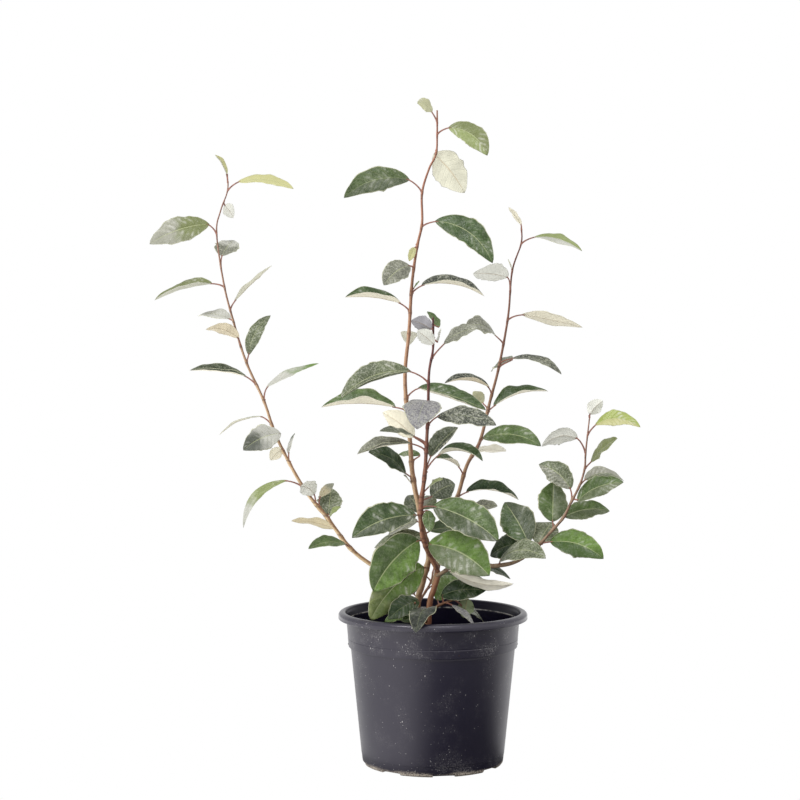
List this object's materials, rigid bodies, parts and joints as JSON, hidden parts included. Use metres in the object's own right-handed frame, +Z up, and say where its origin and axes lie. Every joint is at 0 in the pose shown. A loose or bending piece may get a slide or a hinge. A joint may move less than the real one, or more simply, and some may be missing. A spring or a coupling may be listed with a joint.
{
  "type": "potted oleaster shrub",
  "caption": "Young evergreen shrub with slender upright canes and oval silver-backed leaves, standing in a round black plastic nursery pot.",
  "frame": {"origin": "centre of the pot's flat underside", "axes": "+Z up the pot's axis, +X to the right seen from the front, front towards -Y"},
  "size_m": [0.4861, 0.2268, 0.6681],
  "materials": {
    "pot_plastic": "satin",
    "compost": "crumbly, dull",
    "bark": "fine bark, dull",
    "foliage": "satin, scurfy"
  },
  "bodies": {
    "root": {"pot": "pot_plastic", "compost": "compost", "main_stem": "bark", "side_stem": "bark", "left_bough": "bark", "right_bough": "bark", "far_bough": "bark", "front_low": "foliage", "front_mid": "foliage", "front_tip": "foliage", "tall_foot": "foliage", "tall_low": "foliage", "tall_mid": "foliage", "tall_tip": "foliage", "left_low": "foliage", "left_mid": "foliage", "left_upper": "foliage", "left_tip": "foliage", "right_low": "foliage", "right_mid": "foliage", "right_tip": "foliage", "far_foot": "foliage", "far_low": "foliage", "far_tip": "foliage", "foot_left": "foliage", "foot_right": "foliage", "foot_front": "foliage", "foot_back": "foliage"}
  },
  "joints": []
}
